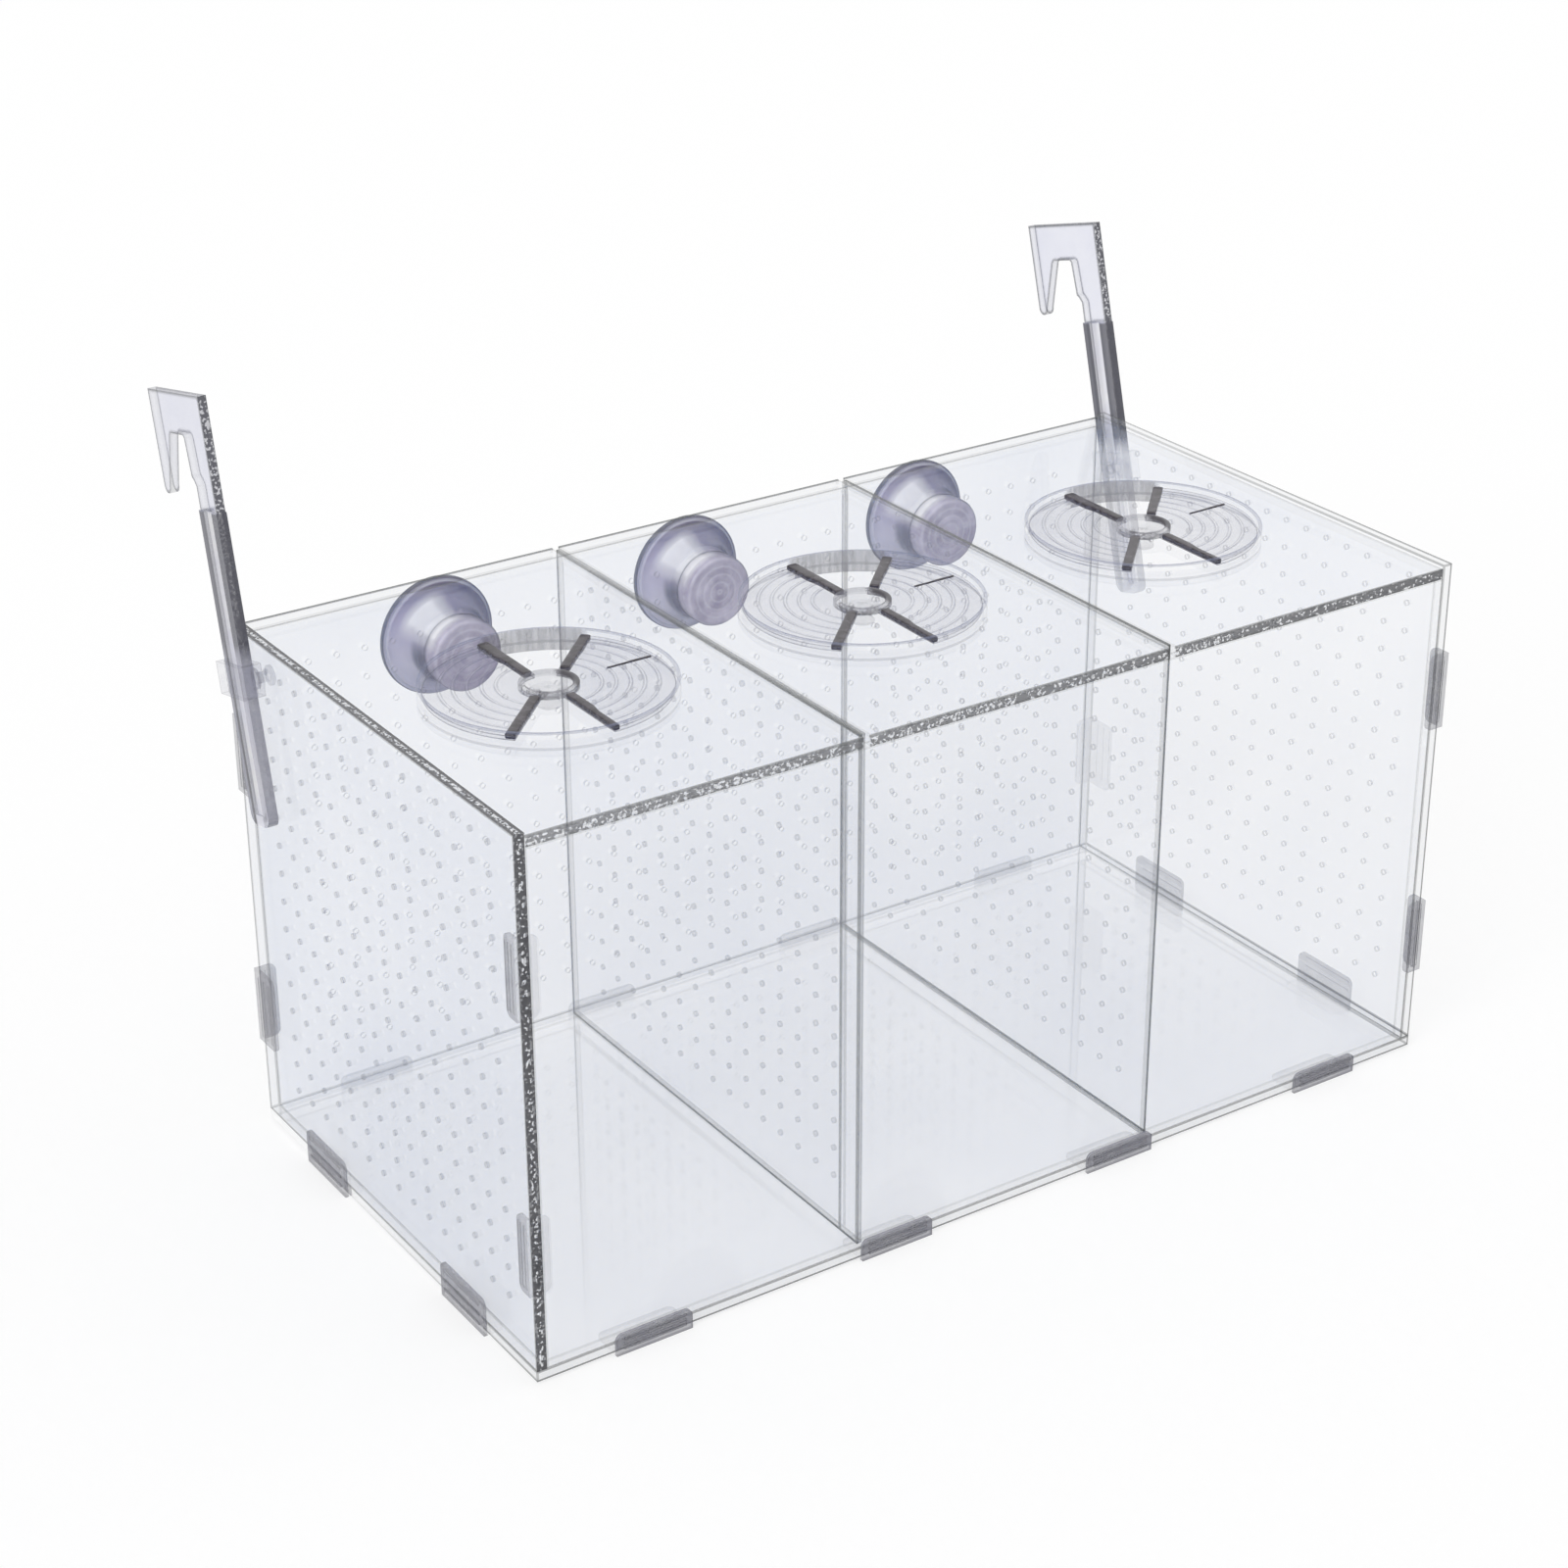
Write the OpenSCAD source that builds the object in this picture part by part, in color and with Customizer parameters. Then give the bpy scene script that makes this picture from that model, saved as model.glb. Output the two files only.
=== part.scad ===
// Three-bay fish breeding box of clear acrylic sheet, hung inside a larger tank.
// Origin: centre of the floor's underside. +X runs along the bays, +Y towards the
// glass that the box hangs on, +Z up. Millimetres.

/* [Tank] */
// Width over the two side panels
tank_w = 300; // [280:1:340]
// Depth over the front and back panels
tank_d = 154; // [140:1:180]
// Height from the floor's underside to the tops of the lids
tank_h = 154; // [140:1:180]
// Thickness of the acrylic sheet of the floor, walls and lids
sheet_t = 3; // [2.5:0.5:4]
// Height of the side panels above the lids
side_rise = 1; // [0:0.5:3]

/* [Bays] */
// Thickness of a divider
divider_t = 1.5; // [1:0.25:2.5]
// Depth of the grooves that guide the dividers
groove_depth = 1.2; // [0.8:0.1:1.6]
// Clearance of a divider in its groove, on each side
groove_gap = 0.15; // [0.1:0.05:0.3]
// Clearance round each lid
lid_gap = 0.3; // [0.2:0.05:0.6]

/* [Perforations] */
// Diameter of one water hole
hole_d = 1.7; // [1.2:0.1:3]
// Pitch of the square hole grid
hole_pitch = 8.6; // [6:0.1:12]
// Centre of the lowest row above the floor's underside
hole_low = 18.7; // [14:0.1:26]
// Least height of solid sheet above the top row's centres
hole_top = 6; // [5:0.5:20]
// Centre of the first column behind the front face
hole_front = 13.5; // [11:0.5:20]
// Plain strip at the back of the side panels, where the hooks sit
hole_back = 19; // [17:0.5:30]
// Least distance from the ends of the back panel to a column
hole_end = 11; // [10:0.5:20]

/* [Feeding ports] */
// Diameter of the port collar, which shows as the port's outer ring
port_d = 68; // [56:1:76]
// Distance of the port centres in front of the lids' middle
port_front = 4.7; // [0:0.1:10]
// Wall of the port collar
collar_wall = 1; // [0.8:0.1:2]
// Height of the collar above the lid
collar_up = 1.6; // [1.2:0.1:2]
// Depth of the collar below the lid
collar_down = 1.7; // [1:0.1:3]
// Depth of the shutter's disc below the top of the collar
shutter_sink = 1.5; // [1:0.1:1.6]
// Thickness of the seat's floor and of the shutter's disc
port_plate_t = 1.2; // [1:0.1:1.4]
// Angle of each of the two windows
window_angle = 45; // [30:5:60]
// Diameter of the raised hub ring
hub_d = 16; // [13:0.5:20]
// Height of the hub ring above the shutter's disc
hub_up = 0.9; // [0.8:0.1:3]
// Diameter of the pivot pin
pivot_d = 5; // [4:0.5:6]
// Radial clearance of the pivot pin in its boss
pivot_gap = 0.05; // [0.03:0.01:0.1]
// Running clearance round and under the shutter
shutter_gap = 0.25; // [0.2:0.05:0.4]
// Thickness of the radial bars at the window edges
bar_t = 2; // [1:0.1:2.6]
// Pitch of the concentric ridges on the shutter
ridge_pitch = 3.7; // [2.5:0.1:6]
// Width of a ridge
ridge_w = 0.9; // [0.6:0.1:1.4]
// Height of a ridge
ridge_up = 0.4; // [0.2:0.1:0.7]

/* [Suction cups] */
// Diameter of a cup's rim
cup_d = 35.2; // [28:0.2:40]
// Distance of the rim behind the back panel
cup_reach = 10.5; // [9:0.5:14]
// Diameter of the neck where it passes through the back panel
neck_d = 20; // [14:0.5:20]
// Diameter of the knob inside the tank
knob_d = 21.6; // [21:0.1:24]
// Length of the knob in front of the back panel
knob_len = 6.5; // [5:0.5:12]
// Thickness of the rim
rim_t = 2; // [1:0.1:2.4]
// Depth of the hollow in the rim
cup_hollow = 3.5; // [2.5:0.1:3.8]
// Distance between neighbouring cups
cup_pitch = 83.4; // [79:0.2:90]
// Distance of the cup centres below the lid tops
cup_drop = 22; // [21:0.5:30]
// Radial clearance of the neck in its hole
neck_gap = 0.1; // [0.05:0.05:0.3]

/* [Hooks] */
// Thickness of the hook's shaft
hook_t = 3; // [2.4:0.2:4]
// Thickness of the hook's head and claw
head_t = 2.4; // [2:0.1:2.4]
// Width of the hook's shaft
shaft_w = 11.4; // [10:0.2:13]
// Height of the hook's top edge above the collar's centre
hook_up = 76.6; // [70:0.1:95]
// Length of the shaft below the collar's centre
shaft_down = 41; // [35:0.5:60]
// Distance from the shaft's middle to the back of the claw
claw_reach = 28; // [26:0.1:33]
// Height of the bar over the slot
claw_bar = 11.3; // [8:0.1:16]
// Width of the slot that takes the glass
slot_w = 9.5; // [6:0.1:10]
// Length of the claw's leg below the slot's top
leg_len = 17.3; // [14:0.1:22]
// Width of the leg's tip
leg_tip_w = 4.6; // [4:0.1:6]
// Distance from the shaft's middle to the slot
slot_start = 8.2; // [8.2:0.1:10]
// Height of the land on the shaft side of the slot
land_len = 11; // [6:0.5:13]
// Height of the plain head above the recessed shaft
head_len = 31; // [31:0.5:36]
// Width of the recess along the shaft
recess_w = 4.6; // [3:0.2:6]
// Depth of the recess in each face
recess_depth = 0.8; // [0.4:0.1:1]
// Backward lean of the left hook
lean_left = 12; // [0:1:16]
// Backward lean of the right hook
lean_right = 15; // [0:1:16]

/* [Hook brackets] */
// Height of the bracket's collar along the shaft
bracket_h = 9; // [7:0.5:12]
// Outer wall of the bracket's collar
bracket_wall = 1.6; // [1.4:0.1:2.2]
// Clearance of the shaft over the corner clips
hook_clear = 0.3; // [0.2:0.05:0.6]
// Clearance of the shaft in the collar, on each side
bracket_gap = 0.2; // [0.15:0.05:0.4]
// Diameter of the round boss on the panel side of the collar
boss_d = 7.8; // [7:0.1:9]
// Distance of the left rivet in front of the tank's back face
rivet_back_left = 16.3; // [14:0.1:17]
// Distance of the left rivet below the lid tops
rivet_drop_left = 9.4; // [9:0.1:12]
// Distance of the right rivet in front of the tank's back face
rivet_back_right = 7.5; // [7:0.1:9]
// Distance of the right rivet below the lid tops
rivet_drop_right = 15.3; // [14:0.1:18]
// Distance of the rivet in front of the shaft's middle
rivet_offset = 4.4; // [3:0.1:5]
// Diameter of the rivet
rivet_d = 3; // [2.4:0.1:3.4]
// Diameter of the rivet's two heads
rivet_head_d = 5.6; // [5:0.2:6]
// Thickness of a rivet head
rivet_head_t = 0.7; // [0.6:0.1:0.8]
// Running clearance of the rivet in the bracket and under its head
rivet_gap = 0.05; // [0.03:0.01:0.1]

/* [Corner clips] */
// Length of one clip along its edge
clip_len = 23; // [16:1:28]
// Thickness of a clip
clip_t = 1; // [0.8:0.1:1.5]
// Width of a clip's long leg
clip_long = 9.8; // [8:0.2:12]
// Width of a clip's short leg
clip_short = 5.2; // [4:0.2:6]
// Spacing of the four clips along the front and back edges
clip_pitch_x = 77; // [70:1:80]
// Spacing of the two clips along each side edge
clip_pitch_y = 79; // [70:1:84]
// Distance of the upper clips' middle below the lid tops
clip_drop = 37.5; // [37.5:0.5:44]
// Spacing of the two clips along each upright edge
clip_pitch_z = 79; // [66:1:84]
// Corner radius of a leg
clip_r = 2; // [1:0.5:3]
// Height of the grip ribs
rib_up = 0.3; // [0.2:0.1:0.6]
// Width of a grip rib
rib_w = 0.7; // [0.5:0.1:1]

/* [Hidden] */
$fn = 48;
cut = 1;                     // how far a cutting body runs past a face
half_w = tank_w / 2;
half_d = tank_d / 2;
inner_half_w = half_w - sheet_t;
inner_half_d = half_d - sheet_t;
lid_z = tank_h - sheet_t;    // underside of the lids, top of the front and back panels
bay_w = (2 * inner_half_w - 2 * divider_t) / 3;
bay_pitch = bay_w + divider_t;
divider_x = bay_pitch / 2;
groove_w = divider_t + 2 * groove_gap;

port_r = port_d / 2;
lid_hole_r = port_r + 0.1;
collar_r = port_r - collar_wall;
shutter_r = collar_r - shutter_gap;
seat_z = lid_z - collar_down;
collar_top = tank_h + collar_up;
shutter_top = collar_top - shutter_sink;
hub_r = hub_d / 2;
window_r = hub_r + 1;        // inner radius of the windows
ridge_start = window_r + 1 + ridge_pitch;    // radius of the innermost ridge
ridge_end = shutter_r - 2;   // the outermost ridge lies within this radius
boss_r = pivot_d / 2 + 2.5;
snap_t = 1;                  // thickness of the pin's snap head
snap_r = pivot_d / 2 + 0.9;

cup_z = tank_h - cup_drop;
neck_r = neck_d / 2;
cup_hole_r = neck_r + neck_gap;

shaft_half = shaft_w / 2;
hook_x = half_w + clip_t + rib_up + hook_clear;
bracket_back = hook_x - half_w - bracket_gap;    // the bracket's wall on the panel
rivet_spots = [                // of the left and right rivets, as [y, z]
    [half_d - rivet_back_left, tank_h - rivet_drop_left],
    [half_d - rivet_back_right, tank_h - rivet_drop_right]
];
leans = [lean_left, lean_right];
rivet_r = rivet_d / 2;
rivet_bore_r = rivet_r + rivet_gap;
tip_r = leg_tip_w / 2;

// ---- shared 2D helpers ----

// Square grid of round holes that starts at [x0, y0] and stops at [x1, y1],
// leaving free the discs of the given radius round each keep-out centre.
module hole_grid(x0, x1, y0, y1, keep_out = [], keep_r = 0) {
    columns = floor((x1 - x0) / hole_pitch + 0.001);
    rows = floor((y1 - y0) / hole_pitch + 0.001);
    for (i = [0:columns], j = [0:rows]) {
        p = [x0 + i * hole_pitch, y0 + j * hole_pitch];
        near = [for (c = keep_out) if (norm(p - c) < keep_r) 1];
        if (len(near) == 0) translate(p) circle(d = hole_d, $fn = 16);
    }
}

// Rectangle whose two far corners, at y = w, are rounded.
module tongue(length, w, r) {
    square([length, w - r]);
    translate([r, 0]) square([length - 2 * r, w]);
    translate([r, w - r]) circle(r);
    translate([length - r, w - r]) circle(r);
}

// Extrudes an outline drawn in the Y-Z plane along +X, from x0 to x1.
module along_x(x0, x1) {
    translate([x0, 0, 0]) rotate([90, 0, 90]) linear_extrude(x1 - x0) children();
}

// Extrudes an outline drawn in the X-Z plane along +Y, from y0 to y1.
module along_y(y0, y1) {
    translate([0, y1, 0]) rotate([90, 0, 0]) linear_extrude(y1 - y0) children();
}

// ---- tank ----

module floor_panel() {
    color([0.90, 0.90, 0.95, 0.5])
        translate([-half_w, -half_d, 0]) cube([tank_w, tank_d, sheet_t]);
}

// Upright grooves for the two dividers, cut into an inner face that looks along dir.
module groove_cuts(dir) {
    for (x = [-divider_x, divider_x])
        translate([x - groove_w / 2, dir * inner_half_d - groove_depth, sheet_t - cut])
            cube([groove_w, 2 * groove_depth, lid_z + 2 * cut]);
}

module front_panel() {
    color([0.90, 0.90, 0.95, 0.5]) difference() {
        translate([-inner_half_w, -half_d, sheet_t])
            cube([2 * inner_half_w, sheet_t, lid_z - sheet_t]);
        groove_cuts(-1);
    }
}

module back_panel() {
    cups = [for (i = [-1:1]) [i * cup_pitch, cup_z]];
    columns = floor((inner_half_w - hole_end) / hole_pitch);
    color([0.90, 0.90, 0.95, 0.5]) difference() {
        along_y(inner_half_d, half_d) difference() {
            translate([-inner_half_w, sheet_t]) square([2 * inner_half_w, lid_z - sheet_t]);
            hole_grid(-columns * hole_pitch, columns * hole_pitch, hole_low, lid_z - hole_top,
                      cups, knob_d / 2 + hole_d);
            for (c = cups) translate(c) circle(cup_hole_r);
        }
        groove_cuts(1);
    }
}

// Side panel as at the left end, with the rivet hole of side 0 (left) or 1 (right).
module side_panel(side) {
    color([0.88, 0.89, 0.94, 0.5]) along_x(-half_w, -inner_half_w) difference() {
        translate([-half_d, sheet_t]) square([tank_d, tank_h + side_rise - sheet_t]);
        hole_grid(hole_front - half_d, half_d - hole_back, hole_low, tank_h - hole_top);
        translate(rivet_spots[side]) circle(rivet_bore_r);
    }
}

module left_panel() {
    side_panel(0);
}

module right_panel() {
    mirror([1, 0, 0]) side_panel(1);
}

// Pull-out divider on one side: side is -1 for the left one, 1 for the right one.
module divider(side) {
    reach = inner_half_d + groove_depth - groove_gap;
    x = side * divider_x;
    color([0.90, 0.90, 0.96, 0.5]) along_x(x - divider_t / 2, x + divider_t / 2) difference() {
        translate([-reach, sheet_t]) square([2 * reach, tank_h - sheet_t]);
        hole_grid(hole_front - half_d, half_d - hole_front, hole_low, tank_h - hole_top);
    }
}

// ---- lids and feeding ports; bay is -1, 0 or 1 ----

// Lid of one bay. It lies on the front and back panels, between side panel and divider.
module lid(bay) {
    w = bay_w - 2 * lid_gap;
    color([0.93, 0.93, 0.98, 0.5]) translate([bay * bay_pitch, 0, lid_z]) difference() {
        translate([-w / 2, -half_d, 0]) cube([w, tank_d, sheet_t]);
        translate([0, -port_front, -cut]) cylinder(r = lid_hole_r, h = sheet_t + 2 * cut, $fn = 96);
    }
}

// The two opposite windows, as wedges that start at an edge of 90 and 270 degrees.
module windows() {
    far = 2 * port_r;
    for (a = [90, 270]) difference() {
        rotate(a) polygon([
            [0, 0], [far, 0],
            [far * cos(window_angle), -far * sin(window_angle)]
        ]);
        circle(window_r);
    }
}

// Disc between two heights, open at the two windows.
module window_disc(r, z0, z1) {
    translate([0, 0, z0]) linear_extrude(z1 - z0) difference() {
        circle(r, $fn = 96);
        windows();
    }
}

// Ring of a middle radius and a width, open at the two windows.
module window_ring(r, w, z0, z1) {
    translate([0, 0, z0]) linear_extrude(z1 - z0) difference() {
        circle(r + w / 2, $fn = 96);
        circle(r - w / 2, $fn = 96);
        windows();
    }
}

// Ring between two radii and two heights.
module ring(r0, r1, z0, z1, fn = 96) {
    translate([0, 0, z0]) linear_extrude(z1 - z0) difference() {
        circle(r1, $fn = fn);
        circle(r0, $fn = fn);
    }
}

// Fixed seat: a collar in the lid's hole and a floor with two windows and a bored boss.
module port_seat(bay) {
    boss_top = shutter_top - port_plate_t - shutter_gap;
    color([0.86, 0.87, 0.91, 0.5]) translate([bay * bay_pitch, -port_front, 0]) difference() {
        union() {
            ring(collar_r, port_r, seat_z, collar_top);
            window_disc(collar_r, seat_z, seat_z + port_plate_t);
            translate([0, 0, seat_z]) cylinder(r = boss_r, h = boss_top - seat_z);
        }
        translate([0, 0, seat_z - cut])
            cylinder(r = pivot_d / 2 + pivot_gap, h = boss_top - seat_z + 2 * cut);
    }
}

// Radial bars along the four window edges, on the closed side of each edge.
module window_bars(z0, z1) {
    length = shutter_r - hub_r;
    for (a = [0, 180]) {
        rotate([0, 0, 90 + a]) translate([hub_r - 1, 0, z0]) cube([length, bar_t, z1 - z0]);
        rotate([0, 0, 90 - window_angle + a])
            translate([hub_r - 1, -bar_t, z0]) cube([length, bar_t, z1 - z0]);
    }
}

// Turning shutter: a ridged disc with two windows, a hub ring and a pin with a snap head.
module port_shutter(bay) {
    disc_z = shutter_top - port_plate_t;
    snap_z = seat_z - shutter_gap - snap_t;
    color([0.90, 0.91, 0.94, 0.6]) translate([bay * bay_pitch, -port_front, 0]) {
        window_disc(shutter_r, disc_z, shutter_top);
        for (r = [ridge_start:ridge_pitch:ridge_end])
            window_ring(r, ridge_w, disc_z, shutter_top + ridge_up);
        window_bars(disc_z, shutter_top + ridge_up);
        ring(hub_r - 1.6, hub_r, disc_z, shutter_top + hub_up, 48);
        translate([0, 0, snap_z]) cylinder(r = snap_r, h = snap_t);
        translate([0, 0, snap_z]) cylinder(d = pivot_d, h = shutter_top - snap_z);
    }
}

// ---- suction cups; place is -1, 0 or 1 ----

// Outline of a cup as [radius, distance behind the panel's outer face].
function cup_outline(steps = 10) = concat(
    [[0, -sheet_t - knob_len], [knob_d / 2 - 1.2, -sheet_t - knob_len]],
    [for (i = [1:steps / 2])
        [knob_d / 2 - 1.2 + 1.2 * sin(i * 180 / steps),
         -sheet_t - knob_len + 1.2 * (1 - cos(i * 180 / steps))]],
    [[knob_d / 2 - 0.2, -sheet_t]],
    [[neck_r, -sheet_t], [neck_r, 0]],
    [for (i = [0:steps])
        let (a = i * 90 / steps)
        [neck_r + 0.9 + (cup_d / 2 - neck_r - 0.9) * (1 - cos(a)) ^ 0.8,
         (cup_reach - rim_t) * sin(a)]],
    [[cup_d / 2, cup_reach]],
    [for (i = [0:steps])
        let (k = 1 - i / steps)
        [(cup_d / 2 - rim_t) * k, cup_reach - cup_hollow * (1 - k * k)]]
);

module suction_cup(place) {
    color([0.66, 0.66, 0.80, 0.8]) translate([place * cup_pitch, half_d, cup_z])
        rotate([-90, 0, 0]) rotate_extrude($fn = 64) polygon(cup_outline());
}

// ---- hooks; side is 0 for the left one, 1 for the right one ----

// Places what is drawn at the left end round the rivet, with the lean of its side.
module at_rivet(side, lean) {
    mirror([side, 0, 0]) translate([0, rivet_spots[side][0], rivet_spots[side][1]])
        rotate([-lean, 0, 0]) children();
}

// Outline of the hook's head as [back, up] from the shaft's middle at the collar.
module claw_outline() {
    slot_top = hook_up - claw_bar;
    land_foot = slot_top - land_len;
    leg_foot = slot_top - leg_len;
    head_foot = hook_up - head_len - 1;
    polygon([
        [-shaft_half, hook_up], [-shaft_half, head_foot],
        [shaft_half - 0.5, head_foot], [shaft_half - 0.5, land_foot - 2.4],
        [shaft_half + 0.4, land_foot - 1.2], [slot_start - 1.8, land_foot - 0.8],
        [slot_start - 0.8, land_foot], [slot_start, slot_top - 0.7],
        [slot_start + 0.7, slot_top], [slot_start + slot_w - 0.7, slot_top],
        [slot_start + slot_w, slot_top - 0.7],
        [claw_reach - leg_tip_w, leg_foot + tip_r], [claw_reach - 0.3, leg_foot + tip_r],
        [claw_reach, hook_up]
    ]);
    translate([claw_reach - 0.15 - tip_r, leg_foot + tip_r]) circle(tip_r - 0.15);
}

// Hook: flat claw over a thicker flat shaft with a recess along each face.
module hook(side) {
    x0 = -hook_x - hook_t;
    head_gap = (hook_t - head_t) / 2;
    head_foot = hook_up - head_len;
    color([0.72, 0.71, 0.80, 0.7]) at_rivet(side, leans[side])
        translate([0, rivet_offset, 0]) difference() {
            union() {
                along_x(x0 + head_gap, x0 + hook_t - head_gap) claw_outline();
                along_x(x0, x0 + hook_t) translate([-shaft_half, head_foot])
                    mirror([0, 1]) tongue(shaft_w, head_foot + shaft_down, 3);
            }
            for (x = [x0 - cut, x0 + hook_t - recess_depth])
                along_x(x, x + recess_depth + cut) translate([-recess_w / 2, 3 - shaft_down])
                    square([recess_w, head_foot + shaft_down - 3]);
        }
}

// Bracket: a square collar round the shaft, with a round boss on the panel for the rivet.
module hook_bracket(side) {
    depth = bracket_back + bracket_wall + 2 * bracket_gap + hook_t;
    cavity = shaft_half + bracket_gap;
    half = cavity + bracket_wall;
    sink = rivet_head_t + 2 * rivet_gap;
    color([0.82, 0.82, 0.88, 0.6]) at_rivet(side, leans[side]) difference() {
        union() {
            translate([-half_w - depth, rivet_offset - half, -bracket_h / 2])
                cube([depth, 2 * half, bracket_h]);
            translate([-half_w - bracket_back, 0, 0])
                rotate([0, 90, 0]) cylinder(d = boss_d, h = bracket_back);
        }
        translate([-half_w - depth + bracket_wall, rivet_offset - cavity, -bracket_h])
            cube([hook_t + 2 * bracket_gap, 2 * cavity, 2 * bracket_h]);
        translate([-half_w - bracket_back - cut, 0, 0]) rotate([0, 90, 0]) {
            cylinder(r = rivet_bore_r, h = bracket_back + 2 * cut);
            cylinder(d = rivet_head_d + 4 * rivet_gap, h = sink + cut);
        }
    }
}

// Rivet through the bracket's back wall and the side panel, with a head on each side.
module hook_rivet(side) {
    outer_x = -half_w - bracket_back + rivet_gap;
    inner_x = -inner_half_w;
    color([0.90, 0.90, 0.94, 0.7]) at_rivet(side, 0) rotate([0, 90, 0]) {
        translate([0, 0, outer_x]) cylinder(d = rivet_head_d, h = rivet_head_t);
        translate([0, 0, outer_x]) cylinder(r = rivet_r, h = inner_x - outer_x + rivet_head_t);
        translate([0, 0, inner_x]) cylinder(d = rivet_head_d, h = rivet_head_t);
    }
}

// ---- corner clips ----

// Angle clip along X round the edge y = 0, z = 0 of a body at +Y and +Z: leg a stands
// on the face y = 0 and leg b lies under z = 0. Ribs run along leg a, and along leg b
// where it doesn't carry the box.
module clip(leg_a, leg_b, ribs_b) {
    translate([-clip_len / 2, 0, -clip_t]) rotate([90, 0, 0])
        linear_extrude(clip_t) tongue(clip_len, leg_a + clip_t, clip_r);
    translate([-clip_len / 2, -clip_t, -clip_t])
        linear_extrude(clip_t) tongue(clip_len, leg_b + clip_t, clip_r);
    for (k = [0:2]) {
        rib_z = (leg_a - rib_w) * (k + 0.5) / 3;
        translate([clip_r - clip_len / 2, -clip_t - rib_up, rib_z])
            cube([clip_len - 2 * clip_r, rib_up + clip_t / 2, rib_w]);
        if (ribs_b) translate([clip_r - clip_len / 2, (leg_b - rib_w) * (k + 0.5) / 3, -clip_t - rib_up])
            cube([clip_len - 2 * clip_r, rib_w, rib_up + clip_t / 2]);
    }
}

// Four clips along a bottom edge of the front or back panel; dir is -1 for the front.
module bottom_clips_x(dir) {
    color([0.56, 0.56, 0.63]) for (k = [-1.5:1.5])
        translate([k * clip_pitch_x, dir * half_d, 0]) mirror([0, dir > 0 ? 1 : 0, 0])
            clip(clip_short, clip_long, false);
}

// Two clips along the bottom edge of a side panel; dir is -1 for the left.
module bottom_clips_y(dir) {
    color([0.56, 0.56, 0.63]) for (k = [-0.5, 0.5])
        translate([dir * half_w, k * clip_pitch_y, 0]) rotate([0, 0, dir > 0 ? 90 : -90])
            clip(clip_long, clip_short, false);
}

// Two clips on an upright edge: dx is -1 at the left, dy is -1 at the front.
module upright_clips(dx, dy) {
    color([0.56, 0.56, 0.63]) for (k = [0, 1])
        translate([dx * half_w, dy * half_d, tank_h - clip_drop - k * clip_pitch_z])
            mirror([dx > 0 ? 1 : 0, 0, 0]) mirror([0, dy > 0 ? 1 : 0, 0])
                rotate([0, -90, 0]) mirror([0, 0, 1])
                    clip(clip_short, dy > 0 ? clip_long : clip_short, true);
}

module clips_bottom_front() {
    bottom_clips_x(-1);
}

module clips_bottom_back() {
    bottom_clips_x(1);
}

module clips_bottom_left() {
    bottom_clips_y(-1);
}

module clips_bottom_right() {
    bottom_clips_y(1);
}

// ---- nodes ----

floor_panel();
front_panel();
back_panel();
left_panel();
right_panel();
divider(-1);  // divider_left
divider(1);  // divider_right
lid(-1);  // lid_left
lid(0);  // lid_middle
lid(1);  // lid_right
port_seat(-1);  // port_seat_left
port_seat(0);  // port_seat_middle
port_seat(1);  // port_seat_right
port_shutter(-1);  // port_shutter_left
port_shutter(0);  // port_shutter_middle
port_shutter(1);  // port_shutter_right
suction_cup(-1);  // suction_cup_left
suction_cup(0);  // suction_cup_middle
suction_cup(1);  // suction_cup_right
hook(0);  // hook_left
hook(1);  // hook_right
hook_bracket(0);  // hook_bracket_left
hook_bracket(1);  // hook_bracket_right
hook_rivet(0);  // hook_rivet_left
hook_rivet(1);  // hook_rivet_right
clips_bottom_front();
clips_bottom_back();
clips_bottom_left();
clips_bottom_right();
upright_clips(-1, -1);  // clips_front_left
upright_clips(1, -1);  // clips_front_right
upright_clips(-1, 1);  // clips_back_left
upright_clips(1, 1);  // clips_back_right
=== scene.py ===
import math

import bmesh
import bpy
import numpy as np
from mathutils import Matrix, Vector


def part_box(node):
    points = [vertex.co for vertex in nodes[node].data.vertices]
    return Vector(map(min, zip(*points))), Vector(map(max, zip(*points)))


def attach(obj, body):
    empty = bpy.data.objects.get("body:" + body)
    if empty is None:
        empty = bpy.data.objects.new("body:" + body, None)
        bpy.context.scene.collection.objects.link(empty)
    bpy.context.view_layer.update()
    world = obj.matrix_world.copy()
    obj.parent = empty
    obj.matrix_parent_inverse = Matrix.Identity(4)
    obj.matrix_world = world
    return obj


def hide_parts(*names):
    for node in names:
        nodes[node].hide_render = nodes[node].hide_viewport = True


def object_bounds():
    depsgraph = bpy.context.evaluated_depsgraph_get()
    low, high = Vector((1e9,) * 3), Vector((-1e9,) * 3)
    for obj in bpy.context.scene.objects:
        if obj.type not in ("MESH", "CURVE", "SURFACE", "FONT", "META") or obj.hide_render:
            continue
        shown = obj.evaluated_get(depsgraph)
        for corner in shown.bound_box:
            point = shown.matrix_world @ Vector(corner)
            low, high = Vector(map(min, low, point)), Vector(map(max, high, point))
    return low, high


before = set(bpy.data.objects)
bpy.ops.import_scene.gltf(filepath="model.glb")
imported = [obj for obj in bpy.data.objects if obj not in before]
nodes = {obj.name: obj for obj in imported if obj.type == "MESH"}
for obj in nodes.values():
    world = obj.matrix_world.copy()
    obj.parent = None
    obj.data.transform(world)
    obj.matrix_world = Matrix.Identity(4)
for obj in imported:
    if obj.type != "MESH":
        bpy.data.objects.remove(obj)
cad_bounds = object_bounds()

# ---- Floor panel ----
# The lowest sheet of the tank: 3 mm clear cast acrylic, laser cut, with polished faces.
# Its cut edges carry the four walls and look grey along each arris, where they bend light.


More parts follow.
